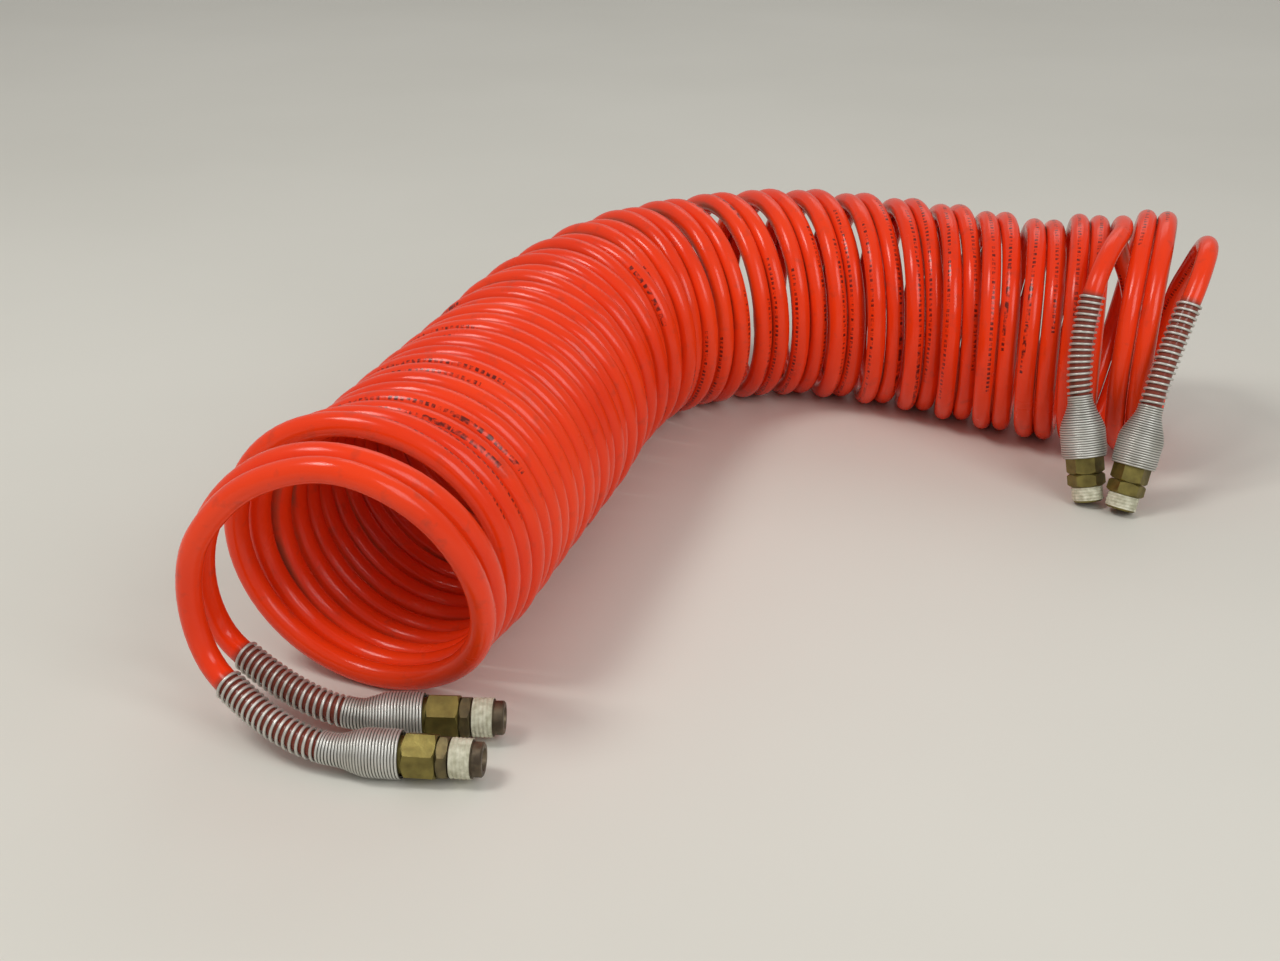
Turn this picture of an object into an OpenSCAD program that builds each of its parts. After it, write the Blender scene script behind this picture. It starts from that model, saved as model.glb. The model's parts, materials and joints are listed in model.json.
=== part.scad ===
// Twin recoil air hose: two nylon tubes wound side by side into one coil that has been laid down in a bend.
// Each tube has a swivel male fitting at its near end and a rigid male fitting at its far end,
// both with a wire spring guard.
// Units are millimetres, +Z is up, the coil lies on z = 0 and the origin is under the middle of the box.

/* [Hose] */
// outside diameter of each tube
hose_diameter = 8.8; // [7.2:0.1:9]
// diameter of the coil, measured at the middle of the tube
coil_diameter = 95.2; // [90:0.5:110]
// gap between the two tubes of a pair
pair_gap = 0.3; // [0.15:0.05:0.5]
// how much wider the loose end loops are than the coil, in radius
loose_radius = 2.5; // [0:0.1:3]
// how much the last turns at the far end have opened, in radius
far_radius = 3; // [0:0.1:5]

/* [Spring guards] */
// wire of the spring guards
wire_diameter = 1.1; // [0.9:0.1:1.4]
// play between the wire and the tube
guard_play = 0.3; // [0.15:0.05:0.5]
// open turns of each guard
guard_turns = 11; // [8:1:11]
// length of the closely wound bell at the near fittings
near_bell_length = 20; // [16:0.5:30]
// outside diameter of that bell
near_bell_diameter = 16.8; // [16.4:0.1:18]
// length of the closely wound bell at the far fittings
far_bell_length = 28; // [22:0.5:34]
// outside diameter of that bell
far_bell_diameter = 20; // [19.4:0.1:22]

/* [Fittings] */
// width across the flats of the nuts and hexagons
hex_width = 14.3; // [14:0.1:15]
// outside diameter of the male threads with their sealant
thread_diameter = 13.7; // [13.2:0.1:13.8]
// air passage through the fittings
passage_diameter = 6.4; // [5:0.1:7]
// depth of the sealant on the threads
sealant_depth = 0.4; // [0.2:0.05:0.6]
// length of the threads on the swivel studs
stud_thread_length = 7.5; // [6:0.5:9]
// plain nose in front of the thread of a swivel stud
stud_nose_length = 3.5; // [3:0.5:6]
// length of the flange that carries the swivel
flange_length = 3.7; // [3:0.1:6]
// length of the nuts on the near fittings
near_nut_length = 11; // [10:0.5:13]
// length of the threads on the rigid bodies
body_thread_length = 7; // [6:0.5:9]
// length of the hexagons of the rigid bodies
body_hex_length = 5.4; // [4.5:0.1:8]
// length of the nuts on the far fittings
far_nut_length = 10.4; // [10:0.1:14]
// length of the shanks that the nuts are screwed on
shank_length = 5; // [4.5:0.5:6]
// running play of the swivel, in radius
swivel_play = 0.05; // [0.02:0.01:0.1]

/* [Hidden] */

$fn = 64;

hose_colour = [0.90, 0.16, 0.08];
spring_colour = [0.80, 0.80, 0.80];
brass_colour = [0.62, 0.54, 0.28];
sealant_colour = [0.93, 0.92, 0.88];
seal_colour = [0.08, 0.08, 0.08];

// ---- route of the coil ----
// One station every three turns: where the middle of the coil is, which way a turn faces,
// and how far it leans.
first_station = -2;
station_turns = 3;
station_place = [
    [-157, -178], [-141, -120], [-124.5, -61.5], [-107, -2.5], [-88.5, 63], [-53, 127.5],
    [12.5, 159], [78, 139], [135.5, 102], [205, 75], [274, 47]
];
station_heading = [19, 19.5, 21, 25, 38, 58.5, 74.5, 90.5, 104.5, 114, 120];
station_lean = [-4, -4.5, -5.5, -6, -3.5, 0, 1, 2, 3.5, 4, 4];

// A turn starts 20 degrees above the side. The tube goes over the top, down the side and back underneath.
start_phase = 20;
// Each turn has nine rings, the first at its lowest point, and each ring has six sides.
rings_per_turn = 9;
tube_sides = 6;
// The turns are cut flat on the floor, a tenth of the diameter deep.
floor_cut = hose_diameter / 10;
pair_pitch = hose_diameter + pair_gap;
coil_radius = coil_diameter / 2;

// how far the two loose loops at the near end have come forward
loose_shift = 24;
// how far the last pair but one has been pushed back by the tube that comes up between it and the last
pushed_back = 4.4;
pushed_turn = 22.75;

// where each tube leaves the coil, in turns
hose_a_turns = [-1.44, 24.34];
hose_b_turns = [-0.44, 24.34];

// Hand-chosen points from the last turn over the top to the start of the spring guard.
far_points_a = [
    [198.3, 108, 14], [201.5, 126.5, 38.5], [203.5, 126, 68.5], [203, 106.5, 91.5], [202, 89, 98.5],
    [196, 61.5, 101.5]
];
far_points_b = [
    [190.6, 116.3, 26.6], [190.1, 122.5, 48.5], [185.4, 121.4, 68.6], [176.6, 116.3, 83.4],
    [170.3, 109.2, 95.4], [167.2, 94.7, 103], [161.6, 74.3, 106.6], [151, 55, 102]
];

// ---- the four ends: mouth of the fitting, way back along it, and where its spring guard starts ----
// Each is the middle of the mouth, the way back from it round +Z, its slope, and the start of the guard.
near_axis_height = near_bell_diameter / 2 + 0.2;
// The far fittings stand on the edge of their mouth.
mouth_radius = thread_diameter / 2 - sealant_depth - 0.6;
far_slope_a = 66.5;
far_slope_b = 70.4;
end_a_near = [[-107, -202.5, near_axis_height], 173.5, 0, [-197.5, -173.5, 22]];
end_b_near = [[-102, -177, near_axis_height], 177.5, 0, [-196, -154, 22]];
end_a_far = [[154.2, 3, mouth_radius * cos(far_slope_a)], 48.4, far_slope_a, [184, 35, 88.5]];
end_b_far = [[142.6, 12.5, mouth_radius * cos(far_slope_b)], 107, far_slope_b, [143, 42.5, 89.5]];
// straight lead of the guard's curve off the bell
guard_lead = 20;

// ---- sizes of the fittings, measured from the mouth ----
assembly_gap = 0.1;
end_gap = 0.3;
hose_clearance = 0.25;
thread_radius = thread_diameter / 2;
core_radius = thread_radius - sealant_depth;
passage_radius = passage_diameter / 2;
nose_radius = core_radius - 0.6;
hose_hole_radius = hose_diameter / 2 + hose_clearance;
shank_radius = hose_hole_radius + 1.35;
chamber_radius = shank_radius + assembly_gap;
chamfer = 0.8;
hex_corner_radius = hex_width / 2 / cos(30);

swivel_start = stud_nose_length + stud_thread_length;
flange_start = swivel_start + end_gap;
near_nut_start = flange_start + flange_length + end_gap;
near_nut_end = near_nut_start + near_nut_length;
near_shank_end = near_nut_start + shank_length;
near_bell_start = near_nut_end + end_gap;
near_straight = near_bell_start + near_bell_length;
far_hex_end = body_thread_length + body_hex_length;
far_nut_start = far_hex_end + end_gap;
far_nut_end = far_nut_start + far_nut_length;
far_shank_end = far_nut_start + shank_length;
far_bell_overlap = 4;
far_bell_start = far_nut_end - far_bell_overlap;
far_straight = far_bell_start + far_bell_length;
nut_rear_wall = 1.5;
near_collar_length = 4;
near_collar_radius = 6.4;

// the swivel: a shank in a socket, kept by a wire ring and sealed by an O-ring
swivel_radius = 5.2;
swivel_depth = 6.4;
retainer_wire = 1;
retainer_place = 1.6;
o_ring_section = 0.95;
o_ring_place = 4.4;
groove_play = 0.1;
half_groove = (retainer_wire + groove_play) / 2;

// ---- small functions ----
function smooth(x) = let (y = min(max(x, 0), 1)) y * y * (3 - 2 * y);
function bump(t, middle, half) = smooth(1 - abs(t - middle) / half);
function unit(v) = v / norm(v);
function direction(end) = [cos(end[2]) * cos(end[1]), cos(end[2]) * sin(end[1]), sin(end[2])];
function on_axis(end, along) = end[0] + along * direction(end);

// value of a station list at turn t, on a smooth curve through the stations
function station(list, t) =
    let (
        u = (t - first_station) / station_turns,
        i = min(max(floor(u), 1), len(list) - 3),
        w = u - i,
        a = list[i - 1], b = list[i], c = list[i + 1], e = list[i + 2]
    )
    (2 * b + (c - a) * w + (2 * a - 5 * b + 4 * c - e) * w * w + (3 * b - a - 3 * c + e) * w * w * w) / 2;

function facing(t) = let (h = station(station_heading, t)) [sin(h), cos(h), 0];
function sideways(t) = let (h = station(station_heading, t)) [cos(h), -sin(h), 0];

// A tube's shift along the coil and its radius, at turn t. side is 1 for hose a and -1 for hose b,
// and loose holds the turn before which that tube comes forward, over how many turns, and the turn
// before which it widens.
function shift_along(t, side, loose) =
    side * pair_pitch / 2 - loose_shift * smooth((loose[0] - t) / loose[1])
        - pushed_back * bump(t, pushed_turn, 0.6);
function turn_radius(t, loose) =
    coil_radius + loose_radius * smooth((loose[2] - t) / 0.3) + far_radius * smooth((t - 22.2) / 0.8);

function coil_point(t, side, loose) =
    let (
        place = station(station_place, t),
        lean = station(station_lean, t),
        across = sideways(t),
        along = facing(t),
        up = [0, 0, cos(lean)] + sin(lean) * along,
        phase = start_phase - 360 * t,
        r = turn_radius(t, loose),
        middle = [place[0], place[1], hose_diameter / 2 - floor_cut + r * cos(lean)]
    )
    middle + r * (cos(phase) * across + sin(phase) * up) + shift_along(t, side, loose) * along;

// way from a tube to the same place on its next turn
function next_turn(t, side, loose) =
    let (a = t > hose_a_turns[1] - 1 ? t - 1 : t)
    coil_point(a + 1, side, loose) - coil_point(a, side, loose);

// turns at which one tube has its rings, and the points there
function ring_turns(turns) = [
    for (k = [floor(turns[0]) * rings_per_turn:ceil(turns[1]) * rings_per_turn])
        let (t = k / rings_per_turn + (90 + start_phase) / 360)
            if (t > turns[0] && t < turns[1]) t
];
function coil_points(turns, side, loose) = [for (t = ring_turns(turns)) coil_point(t, side, loose)];

// smooth curve through points p, with steps points for each stretch
// the first and last points only give directions
function slope(p, i) =
    i == len(p) - 2
        ? unit(p[i + 1] - p[i])
        : (p[i + 1] - p[i - 1]) / (norm(p[i] - p[i - 1]) + norm(p[i + 1] - p[i]));
function hermite(a, b, ta, tb, w) =
    let (h = norm(b - a))
    (2 * pow(w, 3) - 3 * w * w + 1) * a + (pow(w, 3) - 2 * w * w + w) * h * ta
        + (3 * w * w - 2 * pow(w, 3)) * b + (pow(w, 3) - w * w) * h * tb;
function spline(p, steps) = [
    for (i = [1:len(p) - 3], k = [1:steps])
        hermite(p[i], p[i + 1], slope(p, i), slope(p, i + 1), k / steps)
];

// the guard's curve runs from its start to the bell and meets the fitting's axis square
function guard_curve(end, straight, s) =
    let (
        k0 = end[3],
        k2 = on_axis(end, straight),
        k1 = on_axis(end, straight + guard_lead)
    )
    (1 - s) * (1 - s) * k0 + 2 * s * (1 - s) * k1 + s * s * k2;
function guard_points(end, straight, rings) = [for (k = [1:rings]) guard_curve(end, straight, k / rings)];

// the whole tube, from the near shank to the far shank
function reverse(p) = [for (i = [len(p) - 1:-1:0]) p[i]];
function tail(last, before, points, end, straight, hose_end, steps, rings) =
    concat(
        spline(concat([before, last], points, [end[3], on_axis(end, straight + guard_lead)]), steps),
        guard_points(end, straight, rings),
        [on_axis(end, hose_end + hose_diameter), on_axis(end, hose_end)]
    );
near_steps = 3;
near_rings = 7;
far_rings = 5;
function hose_line(turns, side, loose, near_end, far_end, far_points) =
    let (
        c = coil_points(turns, side, loose),
        n = len(c),
        near_tail = tail(c[0], c[1], [], near_end, near_straight, near_shank_end + end_gap, near_steps,
            near_rings),
        far_tail = tail(c[n - 1], c[n - 2], far_points, far_end, far_straight, far_shank_end + end_gap, 1,
            far_rings)
    )
    concat(reverse(near_tail), c, far_tail);

loose_a = [-0.74, 0.44, -0.8];
loose_b = [0.25, 0.5, 0.2];
line_a = hose_line(hose_a_turns, 1, loose_a, end_a_near, end_a_far, far_points_a);
line_b = hose_line(hose_b_turns, -1, loose_b, end_b_near, end_b_far, far_points_b);

// least gap of a tube to itself, on its points, leaving out neighbours along the tube
skip_points = 5;
function self_gap(p) = min([
    for (i = [0:len(p) - 1 - skip_points])
        min([for (j = [i + skip_points:len(p) - 1]) norm(p[i] - p[j])])
]) - hose_diameter;

// ---- sweeps ----
// One ring of a sweep at point i of line p, with a flat towards the reference direction.
// Nothing goes below z = 0.
function ring(p, i, reference, radius, sides) =
    let (
        n = len(p),
        t = unit(p[min(i + 1, n - 1)] - p[max(i - 1, 0)]),
        e = unit(reference - (reference * t) * t),
        f = cross(t, e)
    )
    [
        for (k = [0:sides - 1])
            let (a = (k + 0.5) * 360 / sides, q = p[i] + radius * (cos(a) * e + sin(a) * f))
                [q[0], q[1], max(q[2], 0)]
    ];

module sweep(p, references, radius, sides) {
    n = len(p);
    points = [for (i = [0:n - 1]) each ring(p, i, references[i], radius, sides)];
    walls = [
        for (i = [0:n - 2], k = [0:sides - 1])
            let (
                a = i * sides + k,
                b = i * sides + (k + 1) % sides,
                c = a + sides,
                d = b + sides
            )
            each [[a, d, b], [a, c, d]]
    ];
    start_cap = [for (k = [1:sides - 2]) [0, k, k + 1]];
    last = (n - 1) * sides;
    end_cap = [for (k = [1:sides - 2]) [last, last + k + 1, last + k]];
    polyhedron(points, concat(walls, start_cap, end_cap), convexity = 20);
}

// ---- hoses ----
// Their flats face the neighbouring turns.
near_points = near_steps + near_rings + 2;
module hose(p, turns, side, loose) {
    coil_turns = ring_turns(turns);
    references = [
        for (i = [0:len(p) - 1])
            next_turn(coil_turns[min(max(i - near_points, 0), len(coil_turns) - 1)], side, loose)
    ];
    color(hose_colour) sweep(p, references, hose_diameter / 2, tube_sides);
}

module hose_a() { hose(line_a, hose_a_turns, 1, loose_a); }

module hose_b() { hose(line_b, hose_b_turns, -1, loose_b); }

// ---- spring guards ----
wire_radius = wire_diameter / 2;
wire_sides = 4;
wire_rings = 8;
// The rings stand far enough out for the wire between them to clear the tube.
guard_radius = (hose_diameter / 2 + guard_play) / cos(180 / wire_rings) + wire_radius * 0.7;

// Open turns along the guard's curve, as one wire that ends on the bell.
module open_turns(end, straight) {
    k0 = end[3];
    k1 = on_axis(end, straight + guard_lead);
    k2 = on_axis(end, straight);
    normal = unit(cross(k1 - k0, k2 - k1));
    count = guard_turns * wire_rings;
    // the wire starts a little way down the curve
    places = [for (i = [0:count]) 0.04 + 0.96 * i / count];
    out = [
        for (i = [0:count])
            let (
                s = places[i],
                ahead = unit(guard_curve(end, straight, s + 0.001) - guard_curve(end, straight, s - 0.001)),
                a = 360 * i / wire_rings
            )
            cos(a) * cross(normal, ahead) + sin(a) * normal
    ];
    p = [for (i = [0:count]) guard_curve(end, straight, places[i]) + guard_radius * out[i]];
    sweep(p, out, wire_radius, wire_sides);
}

// The closely wound bell, a wire thick, from the open turns out to its full width.
// Its narrow end stops just under the last open turn.
bell_steps = 12;
bell_wall = wire_diameter + 0.1;
module bell(start, length, outer_radius, mouth) {
    narrow = guard_radius + bell_wall / 2;
    flare = length * 0.45;
    top = start + length - wire_radius * cos(180 / wire_sides) - assembly_gap;
    function bell_radius(z) =
        narrow + (outer_radius - narrow) * smooth((start + length - z) / flare)
            - (outer_radius - mouth) * smooth((start + length * 0.2 - z) / (length * 0.2));
    heights = [for (k = [0:bell_steps]) start + (top - start) * (1 - k / bell_steps)];
    outer = [for (z = heights) [bell_radius(z), z]];
    inner = [for (z = reverse(heights)) [bell_radius(z) - bell_wall, z]];
    rotate_extrude() polygon(concat(outer, inner));
}

module at_end(end) {
    translate(end[0]) rotate([0, 90 - end[2], end[1]]) children();
}

module near_guard(end) {
    color(spring_colour) {
        open_turns(end, near_straight);
        at_end(end)
            bell(near_bell_start, near_bell_length, near_bell_diameter / 2, near_bell_diameter / 2);
    }
}

module far_guard(end) {
    color(spring_colour) {
        open_turns(end, far_straight);
        at_end(end)
            bell(far_bell_start, far_bell_length, far_bell_diameter / 2,
                hex_corner_radius + assembly_gap + bell_wall);
    }
}

// ---- fittings, mouth at z = 0 and the tube at +z ----
module hexagon(width, start, length) {
    translate([0, 0, start])
        intersection() {
            cylinder(d = width / cos(30), h = length, $fn = 6);
            // the corners are turned off at both ends
            rotate_extrude()
                polygon([
                    [0, 0], [width / 2, 0], [width / 2 / cos(30), chamfer],
                    [width / 2 / cos(30), length - chamfer], [width / 2, length], [0, length]
                ]);
        }
}

module tube_ring(start, length, outer, inner) {
    translate([0, 0, start])
        difference() {
            cylinder(r = outer, h = length);
            translate([0, 0, -1]) cylinder(r = inner, h = length + 2);
        }
}

// A nut with a chamber for the shank and the sleeve, and a small hole for the tube.
module nut(start, length, collar) {
    difference() {
        union() {
            hexagon(hex_width, start, length);
            if (collar > 0)
                translate([0, 0, start + length - 0.01])
                    cylinder(r = near_collar_radius, h = collar + 0.01);
        }
        translate([0, 0, start - 1]) cylinder(r = chamber_radius, h = length - nut_rear_wall + 1);
        cylinder(r = hose_hole_radius, h = start + length + collar + 1);
    }
}

// The sleeve that the nut squeezes on the tube, behind the shank.
module sleeve(shank_end, nut_end) {
    length = nut_end - nut_rear_wall - shank_end - 2 * assembly_gap;
    bevel = 0.5;
    color(brass_colour)
        translate([0, 0, shank_end + assembly_gap])
            rotate_extrude()
                polygon([
                    [hose_hole_radius, 0], [shank_radius - bevel, 0], [shank_radius, bevel],
                    [shank_radius, length - bevel], [shank_radius - bevel, length], [hose_hole_radius, length]
                ]);
}

module near_nut(end) {
    color(brass_colour) at_end(end) nut(near_nut_start, near_nut_length, near_collar_length);
}

module near_sleeve(end) {
    at_end(end) sleeve(near_shank_end + end_gap, near_nut_end);
}

// The near body: a hexagonal flange with the swivel's socket, and the shank that the nut is screwed on.
module near_body(end) {
    color(brass_colour) at_end(end)
        difference() {
            union() {
                hexagon(hex_width - 1, flange_start, flange_length);
                translate([0, 0, flange_start + flange_length / 2])
                    cylinder(r = shank_radius, h = near_shank_end - flange_start - flange_length / 2);
            }
            translate([0, 0, flange_start - 1]) cylinder(r = swivel_radius, h = swivel_depth + 1);
            translate([0, 0, flange_start]) cylinder(r = passage_radius, h = near_shank_end);
            // groove for the wire ring that keeps the stud
            translate([0, 0, flange_start + retainer_place - half_groove])
                cylinder(r = swivel_radius + half_groove, h = 2 * half_groove);
        }
}

// The swivel stud: nose, thread and the shank that turns in the body.
stud_shank_radius = swivel_radius - swivel_play;
stud_end = flange_start + swivel_depth - end_gap;
module near_stud(end) {
    ring_groove = flange_start + retainer_place;
    seal_groove = flange_start + o_ring_place;
    half_seal = (o_ring_section + groove_play) / 2;
    color(brass_colour) at_end(end)
        difference() {
            rotate_extrude()
                polygon([
                    [passage_radius + 0.6, 0], [nose_radius - 0.5, 0], [nose_radius, 0.5],
                    [nose_radius, stud_nose_length], [core_radius, stud_nose_length],
                    [core_radius, swivel_start], [stud_shank_radius, swivel_start],
                    [stud_shank_radius, ring_groove - half_groove],
                    [swivel_radius - half_groove, ring_groove - half_groove],
                    [swivel_radius - half_groove, ring_groove + half_groove],
                    [stud_shank_radius, ring_groove + half_groove],
                    [stud_shank_radius, seal_groove - half_seal],
                    [stud_shank_radius - o_ring_section, seal_groove - half_seal],
                    [stud_shank_radius - o_ring_section, seal_groove + half_seal],
                    [stud_shank_radius, seal_groove + half_seal],
                    [stud_shank_radius, stud_end], [passage_radius, stud_end],
                    [passage_radius, 1.2]
                ]);
        }
}

module near_sealant(end) {
    color(sealant_colour) at_end(end)
        tube_ring(stud_nose_length + 0.3, stud_thread_length - 0.6, thread_radius, core_radius + 0.02);
}

module near_o_ring(end) {
    color(seal_colour) at_end(end)
        translate([0, 0, flange_start + o_ring_place])
            rotate_extrude()
                translate([stud_shank_radius - o_ring_section / 2, 0]) circle(d = o_ring_section - 0.06);
}

module near_retainer(end) {
    gap_angle = 30;
    color(spring_colour) at_end(end)
        translate([0, 0, flange_start + retainer_place])
            rotate_extrude(angle = 360 - gap_angle)
                translate([swivel_radius, 0]) circle(d = retainer_wire);
}

module far_nut(end) {
    color(brass_colour) at_end(end) nut(far_nut_start, far_nut_length, 0);
}

module far_sleeve(end) {
    at_end(end) sleeve(far_shank_end + end_gap, far_nut_end);
}

// The rigid body: thread, hexagon and shank in one piece.
module far_body(end) {
    color(brass_colour) at_end(end)
        difference() {
            union() {
                rotate_extrude()
                    polygon([
                        [0, 0], [core_radius - 0.6, 0], [core_radius, 0.6],
                        [core_radius, body_thread_length + 1], [0, body_thread_length + 1]
                    ]);
                hexagon(hex_width, body_thread_length, body_hex_length);
                translate([0, 0, body_thread_length + 1])
                    cylinder(r = shank_radius, h = far_shank_end - body_thread_length - 1);
            }
            translate([0, 0, -1]) cylinder(r = passage_radius, h = far_shank_end + 2);
        }
}

module far_sealant(end) {
    color(sealant_colour) at_end(end)
        tube_ring(0.8, body_thread_length - 1.1, thread_radius, core_radius + 0.02);
}

module near_guard_a() { near_guard(end_a_near); }
module near_nut_a() { near_nut(end_a_near); }
module near_sleeve_a() { near_sleeve(end_a_near); }
module near_body_a() { near_body(end_a_near); }
module near_stud_a() { near_stud(end_a_near); }
module near_sealant_a() { near_sealant(end_a_near); }
module near_o_ring_a() { near_o_ring(end_a_near); }
module near_retainer_a() { near_retainer(end_a_near); }
module near_guard_b() { near_guard(end_b_near); }
module near_nut_b() { near_nut(end_b_near); }
module near_sleeve_b() { near_sleeve(end_b_near); }
module near_body_b() { near_body(end_b_near); }
module near_stud_b() { near_stud(end_b_near); }
module near_sealant_b() { near_sealant(end_b_near); }
module near_o_ring_b() { near_o_ring(end_b_near); }
module near_retainer_b() { near_retainer(end_b_near); }
module far_guard_a() { far_guard(end_a_far); }
module far_nut_a() { far_nut(end_a_far); }
module far_sleeve_a() { far_sleeve(end_a_far); }
module far_body_a() { far_body(end_a_far); }
module far_sealant_a() { far_sealant(end_a_far); }
module far_guard_b() { far_guard(end_b_far); }
module far_nut_b() { far_nut(end_b_far); }
module far_sleeve_b() { far_sleeve(end_b_far); }
module far_body_b() { far_body(end_b_far); }
module far_sealant_b() { far_sealant(end_b_far); }

echo(hose_a_gap_to_itself = self_gap(line_a));
echo(hose_b_gap_to_itself = self_gap(line_b));
echo(gap_between_the_hoses = min([for (p = line_a) min([for (q = line_b) norm(p - q)])]) - hose_diameter);

hose_a();
hose_b();
near_guard_a();
near_nut_a();
near_sleeve_a();
near_body_a();
near_stud_a();
near_sealant_a();
near_o_ring_a();
near_retainer_a();
near_guard_b();
near_nut_b();
near_sleeve_b();
near_body_b();
near_stud_b();
near_sealant_b();
near_o_ring_b();
near_retainer_b();
far_guard_a();
far_nut_a();
far_sleeve_a();
far_body_a();
far_sealant_a();
far_guard_b();
far_nut_b();
far_sleeve_b();
far_body_b();
far_sealant_b();
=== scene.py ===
"""Looks of a twin recoil air hose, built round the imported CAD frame.

Lengths in the first half are millimetres, as in the CAD source; M turns them into Blender's metres.
"""

import json
import math

import bpy
import numpy as np
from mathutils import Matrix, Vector


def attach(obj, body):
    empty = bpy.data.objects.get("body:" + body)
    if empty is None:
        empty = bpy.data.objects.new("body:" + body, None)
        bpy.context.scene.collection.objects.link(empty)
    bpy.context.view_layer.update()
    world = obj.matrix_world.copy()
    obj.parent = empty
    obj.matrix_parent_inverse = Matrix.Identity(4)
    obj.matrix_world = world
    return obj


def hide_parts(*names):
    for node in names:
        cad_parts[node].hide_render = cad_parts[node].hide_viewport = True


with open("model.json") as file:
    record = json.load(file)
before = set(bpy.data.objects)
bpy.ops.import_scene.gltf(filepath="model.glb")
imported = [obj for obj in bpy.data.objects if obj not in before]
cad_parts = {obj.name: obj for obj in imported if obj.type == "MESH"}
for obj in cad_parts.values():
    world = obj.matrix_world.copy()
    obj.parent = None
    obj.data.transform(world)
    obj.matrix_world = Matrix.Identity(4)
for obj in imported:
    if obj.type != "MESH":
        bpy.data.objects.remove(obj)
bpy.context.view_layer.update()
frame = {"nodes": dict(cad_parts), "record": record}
M = 0.001

# ---------------------------------------------------------------- camera
# Found from the vanishing directions of the coil, with the floor level.
PHOTO_WIDTH = 1280
FOCAL_PX = 1710
SENSOR_MM = 36
PITCH = 24.28
CAMERA_AT = (-56, -675, 322)

camera = bpy.data.objects.new("camera", bpy.data.cameras.new("camera"))
bpy.context.collection.objects.link(camera)
camera.location = [v * M for v in CAMERA_AT]
camera.rotation_euler = (math.radians(90 - PITCH), 0, 0)
camera.data.sensor_width = SENSOR_MM
camera.data.lens = SENSOR_MM * FOCAL_PX / PHOTO_WIDTH
camera.data.clip_start = 0.01
bpy.context.scene.camera = camera

# ---------------------------------------------------------------- sizes, as in the CAD source
HOSE_D = 8.8
COIL_D = 95.2
PAIR_PITCH = HOSE_D + 0.3
FLOOR_CUT = HOSE_D / 10
# how much wider the loose loops and the last turns are, and over how many turns they widen
LOOSE_RADIUS, LOOSE_TURNS = 2.5, 0.3
FAR_RADIUS, FAR_START, FAR_TURNS = 3, 22.2, 0.8
LOOSE_SHIFT = 24
# one pair of turns is pushed back: how far, at which turn, and over how many turns on each side of it
PUSHED_BACK, PUSHED_TURN, PUSHED_SPREAD = 4.4, 22.75, 0.6
START_PHASE = 20
CAD_RINGS = 9
FIRST_STATION, STATION_TURNS = -2, 3
# the coil at each station: its place on the floor, its heading and its lean
PLACE = np.array([
    [-157, -178], [-141, -120], [-124.5, -61.5], [-107, -2.5], [-88.5, 63], [-53, 127.5],
    [12.5, 159], [78, 139], [135.5, 102], [205, 75], [274, 47],
])
HEADING = np.array([19, 19.5, 21, 25, 38, 58.5, 74.5, 90.5, 104.5, 114, 120])
LEAN = np.array([-4, -4.5, -5.5, -6, -3.5, 0, 1, 2, 3.5, 4, 4])

# The loops at the far end lean a little more here than in the CAD, to follow the photo more closely.
FAR_POINTS = {
    "a": [[197.5, 107, 13.5], [200.5, 118.5, 36], [200.5, 110, 64], [201, 92, 86], [199, 71, 101.5],
          [193, 50, 103.5]],
    "b": [[186, 115, 26.6], [185.5, 120, 48.5], [180.5, 118, 68.6], [173.5, 113.5, 84.5],
          [169.3, 107, 96], [167.2, 94.7, 104.5], [161.6, 74.3, 106.6], [151, 55, 102]],
}
# how the first and last turns have eased apart: turn, then across, along and up, and how much wider
EASED_FAR = [
    [22.95, 0, 0, 0, 0], [23.3, 0, -1.5, 0, 0], [23.75, 0, 0, 1.5, 1], [24, 0, -2, 1, 0.5],
    [24.2, 0, -3.5, 0, 0], [24.34, 0, -3.5, 0, 0], [24.4, 0, -3.5, 0, 0],
]
EASED = {
    "a": np.array([
        [-1.45, 0, 0, 0, 0], [-1.35, 0, 0, 0, -2], [-1.25, 0.3, 0, 0.5, -1], [-1.15, 1, 0, 1.2, 0.8],
        [-0.95, -1, 0.5, 0.5, 0], [-0.7, -5, 2, 1.2, 1.5], [-0.45, -6.5, 1.2, 1.4, 2.2],
        [-0.2, -4.5, 0.8, 0.8, 1], [0.05, -3, 0.6, 0.3, 0.5], [0.3, -2.5, 1.2, 0, 0],
        [0.55, -2, 0.6, 0, 0], [1.05, 0, 0, 0, 0],
        *EASED_FAR,
    ]),
    "b": np.array([
        [-0.45, 0, 0, 0, 0], [-0.33, 0, -0.2, 0.4, -1], [-0.2, 1, -0.5, 1.3, 0], [0.05, -1.5, 0.3, 0.5, 0],
        [0.3, -4, 1.2, 0.8, 0.5], [0.55, -4, 0.7, 0.8, 1], [0.8, -2.5, 0.2, 0.3, 0.5], [1.05, -1, 0, 0, 0],
        [1.55, 0, 0, 0, 0],
        *EASED_FAR,
    ]),
}
# side of the pair, turns where the tube leaves the coil, and its loose loop: start, width and widening
TUBES = {
    "a": dict(side=1, turns=(-1.44, 24.34), loose=(-0.74, 0.44, -0.8), rows=EASED["a"]),
    "b": dict(side=-1, turns=(-0.44, 24.34), loose=(0.25, 0.5, 0.2), rows=EASED["b"]),
}

WIRE_D = 1.1
NEAR_BELL_D, FAR_BELL_D = 16.8, 20
HEX_WIDTH = 14.3
THREAD_D = 13.7
SEALANT_DEPTH = 0.4
CORE_R = THREAD_D / 2 - SEALANT_DEPTH
MOUTH_R = CORE_R - 0.6
GUARD_LEAD = 20
# lengths from the mouth of a fitting: where its bell starts, where the axis bends off, and the tube's end
NEAR_BELL, FAR_BELL = 26.6, 19.1
NEAR_STRAIGHT, FAR_STRAIGHT = 46.6, 47.1
NEAR_HOSE_END, FAR_HOSE_END = 20.6, 18
STUD_NOSE, STUD_THREAD = 3.5, 7.5
BODY_THREAD = 7


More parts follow.
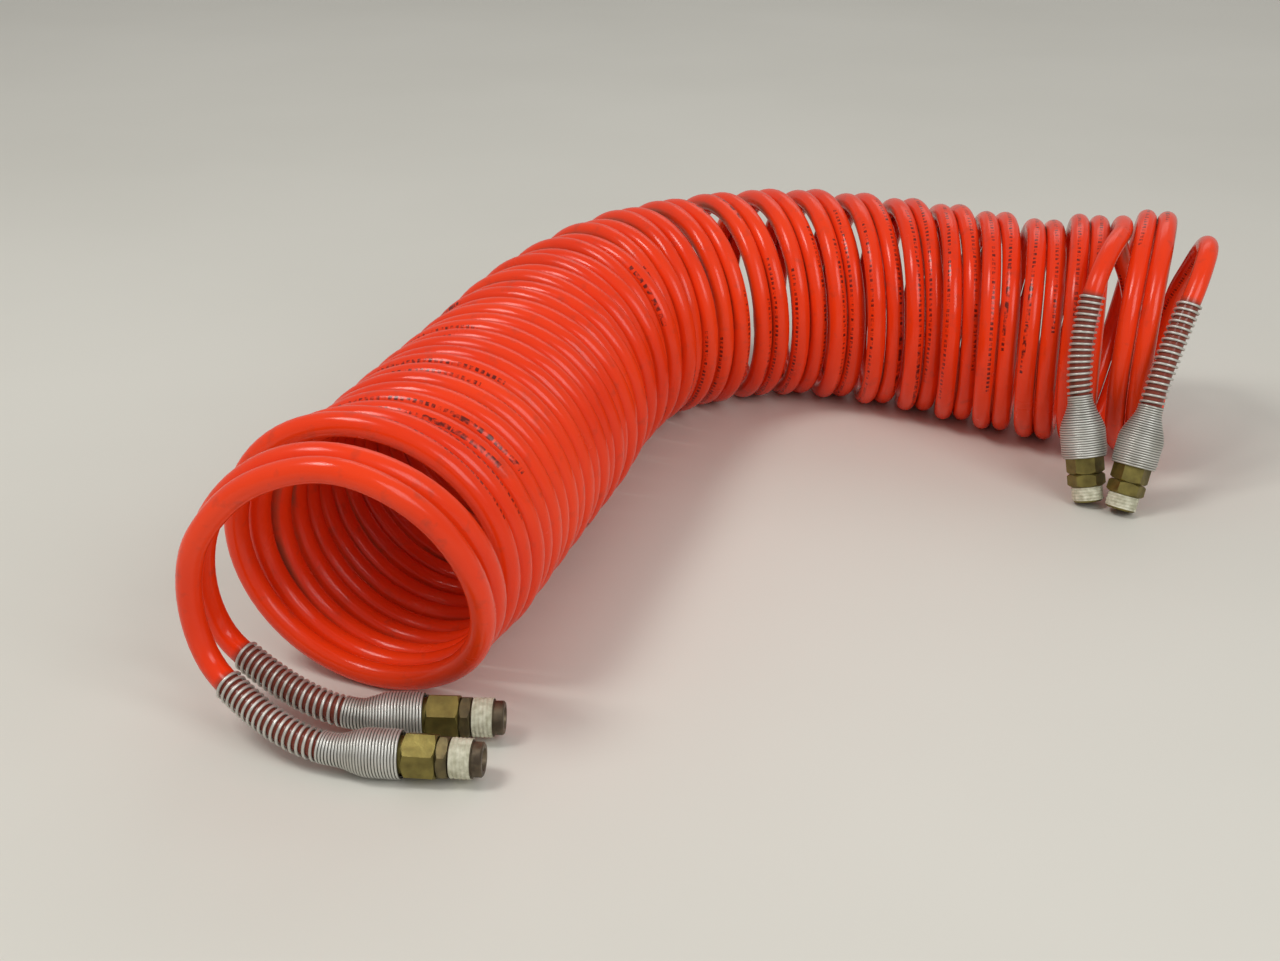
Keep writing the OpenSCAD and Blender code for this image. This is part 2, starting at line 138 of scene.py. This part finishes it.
def at(slope, direction, x, y, height, start, bell, straight):
    """An end of a tube: its mouth, the way back, where guard and bell start, and where the axis bends."""
    a, e = math.radians(direction), math.radians(slope)
    return dict(
        mouth=np.array([x, y, height]),
        way=np.array([math.cos(e) * math.cos(a), math.cos(e) * math.sin(a), math.sin(e)]),
        guard=np.array(start, float),
        bell=bell,
        straight=straight,
    )


NEAR_HEIGHT = NEAR_BELL_D / 2 + 0.2
SLOPE_A, SLOPE_B = 66.5, 70.4
HEIGHT_A, HEIGHT_B = (MOUTH_R * math.cos(math.radians(slope)) for slope in (SLOPE_A, SLOPE_B))
ENDS = {
    "near_a": at(0, 173.5, -107, -202.5, NEAR_HEIGHT, [-197.5, -173.5, 22], NEAR_BELL, NEAR_STRAIGHT),
    "near_b": at(0, 177.5, -102, -177, NEAR_HEIGHT, [-196, -154, 22], NEAR_BELL, NEAR_STRAIGHT),
    "far_a": at(SLOPE_A, 48.4, 154.2, 3, HEIGHT_A, [184, 35, 88.5], FAR_BELL, FAR_STRAIGHT),
    "far_b": at(SLOPE_B, 107, 142.6, 12.5, HEIGHT_B, [143, 42.5, 89.5], FAR_BELL, FAR_STRAIGHT),
}


# ---------------------------------------------------------------- the route, by the CAD source's formula
def smooth(x):
    y = np.clip(x, 0, 1)
    return y * y * (3 - 2 * y)


def unit(v):
    return v / np.linalg.norm(v)


def station(values, t):
    u = (t - FIRST_STATION) / STATION_TURNS
    i = int(min(max(math.floor(u), 1), len(values) - 3))
    w = u - i
    a, b, c, e = values[i - 1], values[i], values[i + 1], values[i + 2]
    return (2 * b + (c - a) * w + (2 * a - 5 * b + 4 * c - e) * w**2 + (3 * b - a - 3 * c + e) * w**3) / 2


def eased(rows, t):
    """Across, along, up and wider at turn t, on a smooth curve through the rows."""
    turns, values = rows[:, 0], rows[:, 1:]
    if t <= turns[0] or t >= turns[-1]:
        return np.zeros(4)
    slopes = np.zeros_like(values)
    slopes[1:-1] = (values[2:] - values[:-2]) / (turns[2:] - turns[:-2])[:, None]
    i = int(np.searchsorted(turns, t)) - 1
    h = turns[i + 1] - turns[i]
    w = (t - turns[i]) / h
    return ((2 * w**3 - 3 * w**2 + 1) * values[i] + (w**3 - 2 * w**2 + w) * h * slopes[i]
            + (3 * w**2 - 2 * w**3) * values[i + 1] + (w**3 - w**2) * h * slopes[i + 1])


def coil_point(t, side, loose, rows):
    """The middle of a tube at turn t of the coil."""
    x, y = station(PLACE, t)
    h, lean = np.radians(station(HEADING, t)), np.radians(station(LEAN, t))
    across = np.array([math.cos(h), -math.sin(h), 0])
    along = np.array([math.sin(h), math.cos(h), 0])
    up = np.array([0, 0, math.cos(lean)]) + math.sin(lean) * along
    by_across, by_along, by_up, wider = eased(rows, t)
    loose_start, loose_width, widening = loose
    r = COIL_D / 2 + LOOSE_RADIUS * smooth((widening - t) / LOOSE_TURNS)
    r = r + FAR_RADIUS * smooth((t - FAR_START) / FAR_TURNS) + wider
    shift = side * PAIR_PITCH / 2 - LOOSE_SHIFT * smooth((loose_start - t) / loose_width) + by_along
    shift -= PUSHED_BACK * smooth(1 - abs(t - PUSHED_TURN) / PUSHED_SPREAD)
    phase = math.radians(START_PHASE - 360 * t)
    middle = np.array([x, y, HOSE_D / 2 - FLOOR_CUT + r * math.cos(lean) + by_up]) + by_across * across
    return middle + r * (math.cos(phase) * across + math.sin(phase) * up) + shift * along


def hermite(a, b, ta, tb, w):
    h = np.linalg.norm(b - a)
    return ((2 * w**3 - 3 * w**2 + 1) * a + (w**3 - 2 * w**2 + w) * h * ta
            + (3 * w**2 - 2 * w**3) * b + (w**3 - w**2) * h * tb)


def spline(points, first, last, steps):
    """Points of a smooth curve through points, after the first one, with the given directions at the ends."""
    def slope(i):
        if i == 0:
            return first
        if i == len(points) - 1:
            return last
        return (points[i + 1] - points[i - 1]) / (
            np.linalg.norm(points[i] - points[i - 1]) + np.linalg.norm(points[i + 1] - points[i]))

    return [hermite(points[i], points[i + 1], slope(i), slope(i + 1), k / steps)
            for i in range(len(points) - 1) for k in range(1, steps + 1)]


def on_axis(end, along):
    return end["mouth"] + along * end["way"]


def guard_curve(end, s):
    k0, k2 = end["guard"], on_axis(end, end["straight"])
    k1 = on_axis(end, end["straight"] + GUARD_LEAD)
    return (1 - s) ** 2 * k0 + 2 * s * (1 - s) * k1 + s * s * k2


def ring_limits(first, last):
    """The first and last of the CAD source's rings between two turns of the coil, in turns."""
    step, offset = 1 / CAD_RINGS, (90 + START_PHASE) / 360
    low = math.ceil((first - offset) / step) * step + offset
    return low, math.floor((last - offset) / step) * step + offset


# steps of a route: in a turn of the coil, from point to point of an end loop, through a guard, and along
# the straight end
TURN_STEPS = 72
NEAR_STEPS, FAR_STEPS = 14, 7
GUARD_STEPS, STRAIGHT_STEPS = 20, 12
# a small step along a curve, from which its direction is taken
NUDGE = 0.01


def hose_line(name):
    """The middle line of a tube from shank to shank, and its directions away from the coil's middle."""
    tube = dict(TUBES[name])
    low, high = ring_limits(*tube.pop("turns"))
    ts = np.linspace(low, high, int((high - low) * TURN_STEPS) + 1)
    coil = [coil_point(t, **tube) for t in ts]

    def tail(t, way, points, end, hose_end, steps):
        here = coil_point(t, **tube)
        leaving = unit(coil_point(t + NUDGE * way, **tube) - here)
        start = unit(guard_curve(end, NUDGE) - guard_curve(end, 0))
        points = [here] + [np.array(p, float) for p in points] + [end["guard"]]
        curve = spline(points, leaving, start, steps)
        curve += [guard_curve(end, s) for s in np.linspace(0, 1, GUARD_STEPS + 1)[1:]]
        straight = np.linspace(end["straight"], hose_end, STRAIGHT_STEPS + 1)[1:]
        return curve + [on_axis(end, along) for along in straight]

    near = tail(low, -1, [], ENDS["near_" + name], NEAR_HOSE_END, NEAR_STEPS)
    far = tail(high, 1, FAR_POINTS[name], ENDS["far_" + name], FAR_HOSE_END, FAR_STEPS)
    # beyond the ends of the coil the directions stay as they are there
    away = [unit(coil_point(t, **tube) - coil_point(t + 0.5, **tube)) for t in ts]
    away = [away[0]] * len(near) + away + [away[-1]] * len(far)
    return np.array(near[::-1] + coil + far), np.array(away)


# ---------------------------------------------------------------- mesh helpers
def add_mesh(name, points, faces, attributes=()):
    mesh = bpy.data.meshes.new(name)
    mesh.from_pydata([tuple(p * M) for p in points], [], faces)
    for key, values in attributes:
        layer = mesh.attributes.new(key, "FLOAT", "POINT")
        layer.data.foreach_set("value", np.asarray(values, np.float32))
    mesh.validate()
    mesh.update()
    mesh.shade_smooth()
    o = bpy.data.objects.new(name, mesh)
    bpy.context.collection.objects.link(o)
    return o


def directions(line):
    """The direction of a line at each of its points."""
    ahead = np.gradient(line, axis=0)
    return ahead / np.linalg.norm(ahead, axis=1)[:, None]


def distances(line):
    """The distance along a line at each of its points."""
    return np.concatenate([[0], np.cumsum(np.linalg.norm(np.diff(line, axis=0), axis=1))])


def frames(line):
    """Directions along a line, and ones across it that start most upright and turn as little as they can."""
    tangents, upright = directions(line), np.array((0, 0, 1.0))
    e = unit(upright - upright.dot(tangents[0]) * tangents[0])
    out = []
    for t in tangents:
        e = unit(e - e.dot(t) * t)
        out.append(e)
    return tangents, np.array(out)


def sweep(name, line, radius, sides, across=None, attributes=()):
    """A closed tube along line, with its own directions across it or ones that turn as little as they can."""
    tangents, e = frames(line)
    if across is not None:
        e = np.array([unit(a - a.dot(t) * t) for a, t in zip(across, tangents)])
    f = np.cross(tangents, e)
    angles = 2 * np.pi * np.arange(sides) / sides
    out = np.cos(angles)[None, :, None] * e[:, None, :] + np.sin(angles)[None, :, None] * f[:, None, :]
    points = (line[:, None, :] + radius * out).reshape(-1, 3)
    # the floor flattens what presses on it
    points[:, 2] = np.maximum(points[:, 2], 0)
    rings = [range(i * sides, (i + 1) * sides) for i in range(len(line))]
    faces = [(here[k], here[(k + 1) % sides], there[(k + 1) % sides], there[k])
             for here, there in zip(rings, rings[1:]) for k in range(sides)]
    faces += [tuple(rings[0])[::-1], tuple(rings[-1])]
    length = distances(line)
    return add_mesh(name, points, faces, [("along", np.repeat(length, sides)), *attributes])


def revolve(name, profile, end, sides, radius):
    """A closed ring round an end's axis, from (radius, along) points changed by radius(r, along, turn)."""
    way = end["way"]
    e = unit(np.cross(way, [0, 0, 1]) if abs(way[2]) < 0.9 else np.cross(way, [1, 0, 0]))
    f = np.cross(way, e)
    points, n = [], len(profile)
    for k in range(sides):
        a = 2 * math.pi * k / sides
        for r, z in profile:
            r = radius(r, z, k / sides)
            points.append(end["mouth"] + z * way + r * (math.cos(a) * e + math.sin(a) * f))
    faces = [(k * n + i, k * n + (i + 1) % n, (k + 1) % sides * n + (i + 1) % n, (k + 1) % sides * n + i)
             for k in range(sides) for i in range(n)]
    return add_mesh(name, points, faces)


# ---------------------------------------------------------------- hoses
HOSE_SIDES = 24
# how far the printed line wanders round the tube, in radians, and over what length
PRINT_WANDER, PRINT_WAVE = 0.7, 620


def print_place(line, away):
    """Sine and cosine of the angle round the tube from the printed line, and how far it faces the next
    turns, for every point of the sweep."""
    tangents, e = frames(line)
    f = np.cross(tangents, e)
    facing = np.unwrap(np.arctan2((away * f).sum(1), (away * e).sum(1)))
    angles = 2 * np.pi * np.arange(HOSE_SIDES) / HOSE_SIDES
    beside = np.abs(np.sin(angles[None, :] - facing[:, None])).ravel()
    length = distances(line)
    facing += PRINT_WANDER * np.sin(2 * np.pi * length / PRINT_WAVE)
    turn = (angles[None, :] - facing[:, None]).ravel()
    return np.sin(turn), np.cos(turn), beside


def in_guard(line, name):
    """1 where the tube runs inside a spring guard, for every point of the sweep."""
    out = np.zeros(len(line))
    for where, step in (("near", 1), ("far", -1)):
        start = np.argmin(np.linalg.norm(line - ENDS[f"{where}_{name}"]["guard"], axis=1))
        out[:start] += step > 0
        out[start + 1:] += step < 0
    return np.repeat(out, HOSE_SIDES)


lines, hoses = {}, {}
for name in TUBES:
    line, away = hose_line(name)
    lines[name] = line
    printed_sin, printed_cos, beside = print_place(line, away)
    hoses[name] = sweep(f"hose_{name}_tube", line, HOSE_D / 2, HOSE_SIDES, attributes=[
        ("print_sin", printed_sin), ("print_cos", printed_cos), ("beside", beside),
        ("in_guard", in_guard(line, name))])
    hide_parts(f"hose_{name}")
    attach(hoses[name], "hose")


# ---------------------------------------------------------------- spring guards
OPEN_TURNS = 17
RINGS_PER_TURN = 28
WIRE_SIDES = 10
# the closely wound turns press on each other a little, so that no light falls between them
CLOSE_PITCH = 0.96 * WIRE_D
GUARD_PLAY = 0.1
# where the wire starts on a guard's curve, and the points of its path on the curve and on the axis
WIRE_START = 0.04
CURVE_POINTS, AXIS_POINTS = 97, 61
guard_r = HOSE_D / 2 + GUARD_PLAY + WIRE_D / 2
hex_corner_r = HEX_WIDTH / 2 / math.cos(math.radians(30))
# outside radius of a bell, its radius at the mouth, and, from the fitting's mouth, where the narrow end
# of its flare is, where the flare is full, and where the closely wound turns end
BELLS = {
    "near": dict(outer=NEAR_BELL_D / 2, mouth=NEAR_BELL_D / 2 - 0.2, narrow=50, full=38, close=55),
    "far": dict(outer=FAR_BELL_D / 2, mouth=hex_corner_r + GUARD_PLAY + WIRE_D, narrow=45.5, full=31, close=47),
}
# over what length a bell closes to its mouth
BELL_CLOSING = 3.5


def guard_wire(name, end, outer, mouth, narrow, full, close):
    """The whole guard as one wire: open turns along the curve, then the closely wound bell."""
    k1 = on_axis(end, end["straight"] + GUARD_LEAD)
    normal = unit(np.cross(k1 - end["guard"], on_axis(end, end["straight"]) - k1))
    bell_low = end["bell"] + WIRE_D / 2
    path = [guard_curve(end, s) for s in np.linspace(WIRE_START, 1, CURVE_POINTS)]
    path += [on_axis(end, z) for z in np.linspace(end["straight"], bell_low, AXIS_POINTS)[1:]]
    path = np.array(path)
    # distance from the fitting's mouth, measured along the guard
    distance = bell_low + distances(path[::-1])[::-1]
    ahead = directions(path)

    close_turns = round((close - bell_low) / CLOSE_PITCH)
    turns = np.arange((OPEN_TURNS + close_turns) * RINGS_PER_TURN + 1) / RINGS_PER_TURN
    z = np.interp(turns, [0, OPEN_TURNS, OPEN_TURNS + close_turns], [distance[0], close, bell_low])
    here = np.stack([np.interp(-z, -distance, path[:, k]) for k in range(3)], axis=1)
    ahead = np.stack([np.interp(-z, -distance, ahead[:, k]) for k in range(3)], axis=1)
    flare = smooth((narrow - z) / (narrow - full))
    closing = smooth((end["bell"] + BELL_CLOSING - z) / BELL_CLOSING)
    radius = guard_r + (outer - WIRE_D / 2 - guard_r) * flare - (outer - mouth) * closing
    a = 2 * np.pi * turns[:, None]
    out = np.cos(a) * np.cross(normal, ahead) + np.sin(a) * normal
    # 1 on the two sides of the closely wound wire that face the next turns, where the spring material paints
    # shade
    beside = np.abs(np.sin(2 * np.pi * np.arange(WIRE_SIDES) / WIRE_SIDES))
    return sweep(name, here + radius[:, None] * out, WIRE_D / 2, WIRE_SIDES, across=out,
                 attributes=[("beside", np.outer(turns >= OPEN_TURNS, beside).ravel())])


guards = {}
for key, end in ENDS.items():
    where, which = key.split("_")
    guards[key] = guard_wire(f"{where}_guard_{which}_wire", end, **BELLS[where])
    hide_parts(f"{where}_guard_{which}")
    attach(guards[key], "hose")


# ---------------------------------------------------------------- sealed threads
THREAD_PITCH = 1.41
RIDGE = 0.3
THREAD_SIDES, THREAD_STEPS = 96, 56
# the gap between the sealant and its core, and how far it stops short of the ends of a thread
CORE_GAP = 0.02
SHORT, FAR_SHORT = 0.3, 0.8


def sealed_thread(name, end, low, high):
    """Thread ridges under a coat of sealant that fills them unevenly."""
    def radius(r, z, turn):
        """The core's side stays as it is. The rest gets ridges, and slow waves in their fill and coat."""
        if r == CORE_R + CORE_GAP:
            return r
        a = 2 * math.pi * turn
        ridge = 0.5 + 0.5 * math.cos(2 * math.pi * (z / THREAD_PITCH - turn))
        fill = 0.55 + 0.25 * math.sin(3 * a + z) + 0.2 * math.sin(7 * a - 2.3 * z)
        return r - RIDGE * (1 - ridge) * (1 - 0.5 * fill) - 0.05 * (1 + math.sin(5 * a + 1.7 * z)) / 2

    outside = [(THREAD_D / 2, low + (high - low) * i / THREAD_STEPS) for i in range(THREAD_STEPS + 1)]
    profile = [(CORE_R + CORE_GAP, low)] + outside + [(CORE_R + CORE_GAP, high)]
    return revolve(name, profile, end, THREAD_SIDES, radius)


def sealed_length(where):
    if where == "near":
        return STUD_NOSE + SHORT, STUD_NOSE + STUD_THREAD - SHORT
    return FAR_SHORT, BODY_THREAD - SHORT


sealants = {}
for key, end in ENDS.items():
    where, which = key.split("_")
    sealants[key] = sealed_thread(f"{where}_sealant_{which}_coat", end, *sealed_length(where))
    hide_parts(f"{where}_sealant_{which}")
    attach(sealants[key], f"stud_{which}" if where == "near" else "hose")

# ---------------------------------------------------------------- the pieces that go with each hose, gathered in a list
for name, line in lines.items():
    pieces = [guards["near_" + name], guards["far_" + name], sealants["near_" + name], sealants["far_" + name]]
    pieces += [frame["nodes"][f"{node}_{name}"] for node in (
        "near_nut", "near_sleeve", "near_body", "near_stud", "near_o_ring", "near_retainer",
        "far_nut", "far_sleeve", "far_body")]


# ---------------------------------------------------------------- materials
def material(name):
    m = bpy.data.materials.new(name)
    m.use_nodes = True
    nodes, links = m.node_tree.nodes, m.node_tree.links
    return m, nodes, links, nodes["Principled BSDF"]


def noise(nodes, links, scale, detail, where):
    node = nodes.new("ShaderNodeTexNoise")
    node.inputs["Scale"].default_value = scale
    node.inputs["Detail"].default_value = detail
    links.new(where, node.inputs["Vector"])
    return node.outputs["Fac"]


def spread(nodes, links, value, low, high, out_low=0.0, out_high=1.0):
    node = nodes.new("ShaderNodeMapRange")
    node.inputs["From Min"].default_value = low
    node.inputs["From Max"].default_value = high
    node.inputs["To Min"].default_value = out_low
    node.inputs["To Max"].default_value = out_high
    links.new(value, node.inputs["Value"])
    return node.outputs["Result"]


def mixed(nodes, links, factor, a, b):
    node = nodes.new("ShaderNodeMix")
    node.data_type = "RGBA"
    links.new(factor, node.inputs["Factor"])
    for socket, value in ((node.inputs[6], a), (node.inputs[7], b)):
        if isinstance(value, tuple):
            socket.default_value = (*value, 1)
        else:
            links.new(value, socket)
    return node.outputs[2]


def math_node(nodes, links, operation, a, b=None):
    node = nodes.new("ShaderNodeMath")
    node.operation = operation
    for socket, value in zip(node.inputs, (a, b)):
        if value is None:
            continue
        if isinstance(value, (int, float)):
            socket.default_value = value
        else:
            links.new(value, socket)
    return node.outputs[0]


def bump(nodes, links, shader, height, distance):
    node = nodes.new("ShaderNodeBump")
    node.inputs["Distance"].default_value = distance
    node.inputs["Strength"].default_value = 1
    links.new(height, node.inputs["Height"])
    links.new(node.outputs["Normal"], shader.inputs["Normal"])


def attribute(nodes, name):
    node = nodes.new("ShaderNodeAttribute")
    node.attribute_name = name
    return node.outputs["Fac"]


def object_place(nodes):
    return nodes.new("ShaderNodeTexCoord").outputs["Object"]


# the printed bars, small ones in groups and wider ones in a short group now and then: from bar to bar and
# how much of that is inked, from group to group and how much of that is bare, and half a bar's width as
# the sine of its angle round the tube
BARS = (
    dict(pitch=2.2, inked=0.6, group=287, bare=0.62, half_width=0.17),
    dict(pitch=7, inked=0.8, group=430, bare=0.93, half_width=0.22),
)
# how far along a tube, past its loose loop, the print and the painted shade between the turns start
PRINT_START, VALLEY_SHADE_START = 520, 620


def printed_bars(nodes, links):
    """1 on the plain bars printed in a broken line along the tube."""
    def value(operation, a, b=None):
        return math_node(nodes, links, operation, a, b)

    def share(of, period):
        return value("FRACT", value("DIVIDE", of, period))

    along, across = attribute(nodes, "along"), value("ABSOLUTE", attribute(nodes, "print_sin"))
    printed = []
    for bar in BARS:
        inked = value("LESS_THAN", share(along, bar["pitch"]), bar["inked"])
        grouped = value("GREATER_THAN", share(along, bar["group"]), bar["bare"])
        narrow = value("LESS_THAN", across, bar["half_width"])
        printed.append(value("MULTIPLY", value("MULTIPLY", inked, grouped), narrow))
    facing = value("GREATER_THAN", attribute(nodes, "print_cos"), 0)
    facing = value("MULTIPLY", facing, value("GREATER_THAN", along, PRINT_START))
    return value("MULTIPLY", facing, value("MAXIMUM", *printed))


def hose_material():
    """Glossy nylon with faint dirt, patchy painted shade in the valleys between turns, a broken line of plain
    printed bars, and painted shade inside the guards."""
    m, nodes, links, shader = material("hose_nylon")
    place = object_place(nodes)
    shade = spread(nodes, links, noise(nodes, links, 18, 3, place), 0.3, 0.7)
    colour = mixed(nodes, links, shade, (0.80, 0.036, 0.004), (0.90, 0.054, 0.008))
    dirt_and_shade = spread(nodes, links, noise(nodes, links, 160, 6, place), 0.58, 0.78, 0, 0.4)
    colour = mixed(nodes, links, dirt_and_shade, colour, (0.30, 0.05, 0.03))
    patch = spread(nodes, links, noise(nodes, links, 45, 5, place), 0.40, 0.62, 0.1, 0.8)
    # patchy painted shade, dark brown, on the sides of the tube that face the next turns, in the valleys
    # between them
    valley_painted_shade = spread(nodes, links, attribute(nodes, "beside"), 0.86, 1.0)
    wound = math_node(nodes, links, "GREATER_THAN", attribute(nodes, "along"), VALLEY_SHADE_START)
    valley_painted_shade = math_node(nodes, links, "MULTIPLY", math_node(nodes, links, "MULTIPLY", valley_painted_shade, wound), patch)
    colour = mixed(nodes, links, valley_painted_shade, colour, (0.20, 0.085, 0.05))
    worn = spread(nodes, links, noise(nodes, links, 500, 4, place), 0.40, 0.58, 0.05, 0.9)
    ink = math_node(nodes, links, "MULTIPLY", printed_bars(nodes, links), worn)
    colour = mixed(nodes, links, ink, colour, (0.07, 0.012, 0.01))
    # painted shade, dark brown, on the tube inside the spring guards, where the wire shades it
    guard_painted_shade = math_node(nodes, links, "MULTIPLY", attribute(nodes, "in_guard"), 0.85)
    colour = mixed(nodes, links, guard_painted_shade, colour, (0.12, 0.05, 0.035))
    links.new(colour, shader.inputs["Base Color"])
    rough = spread(nodes, links, noise(nodes, links, 60, 5, place), 0.35, 0.7, 0.16, 0.28)
    links.new(rough, shader.inputs["Roughness"])
    shader.inputs["IOR"].default_value = 1.48
    shader.inputs["Specular IOR Level"].default_value = 0.32
    bump(nodes, links, shader, noise(nodes, links, 220, 2, place), 0.00006)
    return m


# a dark colour painted as shade between the closely wound turns of the springs
SPRING_PAINTED_SHADE = (0.10, 0.09, 0.07)


def metal_material(name, light, dark, roughness, patches, scale, metallic):
    """Metal in two tones, with painted shade between the closely wound turns where it is a spring."""
    m, nodes, links, shader = material(name)
    place = object_place(nodes)
    patch = spread(nodes, links, noise(nodes, links, scale, 5, place), *patches)
    colour = mixed(nodes, links, patch, light, dark)
    # painted shade on the sides of the closely wound wire that face the next turns
    dirt_and_shade = spread(nodes, links, attribute(nodes, "beside"), 0.45, 0.95)
    links.new(mixed(nodes, links, dirt_and_shade, colour, SPRING_PAINTED_SHADE), shader.inputs["Base Color"])
    rough = spread(nodes, links, noise(nodes, links, scale * 2.3, 4, place), 0.3, 0.7, *roughness)
    links.new(rough, shader.inputs["Roughness"])
    shader.inputs["Metallic"].default_value = metallic
    bump(nodes, links, shader, noise(nodes, links, scale * 8, 4, place), 0.00004)
    return m


def sealant_material():
    m, nodes, links, shader = material("thread_sealant")
    place = object_place(nodes)
    patch = spread(nodes, links, noise(nodes, links, 420, 5, place), 0.35, 0.7)
    colour = mixed(nodes, links, patch, (0.42, 0.41, 0.29), (0.70, 0.69, 0.55))
    links.new(colour, shader.inputs["Base Color"])
    shader.inputs["Roughness"].default_value = 0.75
    bump(nodes, links, shader, noise(nodes, links, 900, 5, place), 0.00012)
    return m


def rubber_material():
    m, nodes, links, shader = material("seal_rubber")
    place = object_place(nodes)
    patch = spread(nodes, links, noise(nodes, links, 500, 3, place), 0.3, 0.7)
    colour = mixed(nodes, links, patch, (0.012, 0.012, 0.012), (0.03, 0.03, 0.03))
    links.new(colour, shader.inputs["Base Color"])
    shader.inputs["Roughness"].default_value = 0.55
    return m


hose_look = hose_material()
spring_look = metal_material(
    "spring_zinc", (0.66, 0.66, 0.62), (0.45, 0.44, 0.39), (0.34, 0.50), (0.35, 0.75), 90, metallic=0.65)
brass_look = metal_material(
    "dull_brass", (0.27, 0.225, 0.065), (0.12, 0.095, 0.03), (0.36, 0.55), (0.35, 0.70), 140, metallic=0.85)
# darker brass for the near flanges: partly grime, partly painted shade for the shade they sit in
flange_look = metal_material(
    "grimy_brass_painted_shade", (0.21, 0.17, 0.075), (0.08, 0.065, 0.04), (0.40, 0.60), (0.30, 0.65), 160, metallic=0.8)
stud_look = metal_material(
    "dark_brass", (0.19, 0.15, 0.095), (0.08, 0.06, 0.04), (0.40, 0.60), (0.30, 0.65), 180, metallic=0.7)
sealant_look = sealant_material()
rubber_look = rubber_material()

for objects, look in ((hoses, hose_look), (guards, spring_look), (sealants, sealant_look)):
    for o in objects.values():
        o.data.materials.append(look)
looks = {
    "spring": spring_look, "brass": brass_look, "sealant": sealant_look, "seal": rubber_look,
    "hose": hose_look,
}
# the near studs are grimier than the rest of the brass; the near flanges are grimier too, and darker partly as
# painted shade
own_looks = {"near_stud": stud_look, "near_body": flange_look}
slot_of = {s["node"]: s["material_slot"] for s in frame["record"]["subparts"]}
for node, o in frame["nodes"].items():
    for s in o.material_slots:
        s.material = own_looks.get(node[:-2], looks[slot_of[node]])

# ---------------------------------------------------------------- floor and lights, in metres
FLOOR_CORNERS = [(-4, -3, 0), (4, -3, 0), (4, 6, 0), (-4, 6, 0)]
LIT_SPOT = (0, 0, 0.05)
WARM_WHITE = (1, 0.98, 0.95)
WORLD_STRENGTH = 0.42

floor_mesh = bpy.data.meshes.new("floor")
floor_mesh.from_pydata(FLOOR_CORNERS, [], [(0, 1, 2, 3)])
floor = bpy.data.objects.new("floor", floor_mesh)
bpy.context.collection.objects.link(floor)
m, nodes, links, shader = material("table")
cloud = spread(nodes, links, noise(nodes, links, 2.2, 4, object_place(nodes)), 0.3, 0.7)
links.new(mixed(nodes, links, cloud, (0.66, 0.65, 0.59), (0.71, 0.70, 0.64)), shader.inputs["Base Color"])
shader.inputs["Roughness"].default_value = 0.55
floor_mesh.materials.append(m)


def lamp(name, at_m, size, power, colour=(1, 1, 1)):
    data = bpy.data.lights.new(name, "AREA")
    data.shape = "RECTANGLE"
    data.size, data.size_y = size
    data.energy = power
    data.color = colour
    o = bpy.data.objects.new(name, data)
    o.location = at_m
    o.rotation_euler = (Vector(LIT_SPOT) - Vector(at_m)).to_track_quat("-Z", "Y").to_euler()
    bpy.context.collection.objects.link(o)


lamp("key", (-0.9, -0.4, 1.5), (0.5, 0.5), 10.5, WARM_WHITE)
lamp("fill", (0.9, -1.3, 1.2), (1.0, 1.0), 13)
lamp("back", (0.3, 1.4, 1.4), (1.2, 0.8), 3)
world = bpy.data.worlds.new("world")
bpy.context.scene.world = world
world.use_nodes = True
world.node_tree.nodes["Background"].inputs["Color"].default_value = (*WARM_WHITE, 1)
world.node_tree.nodes["Background"].inputs["Strength"].default_value = WORLD_STRENGTH
bpy.context.scene.view_settings.view_transform = "Standard"
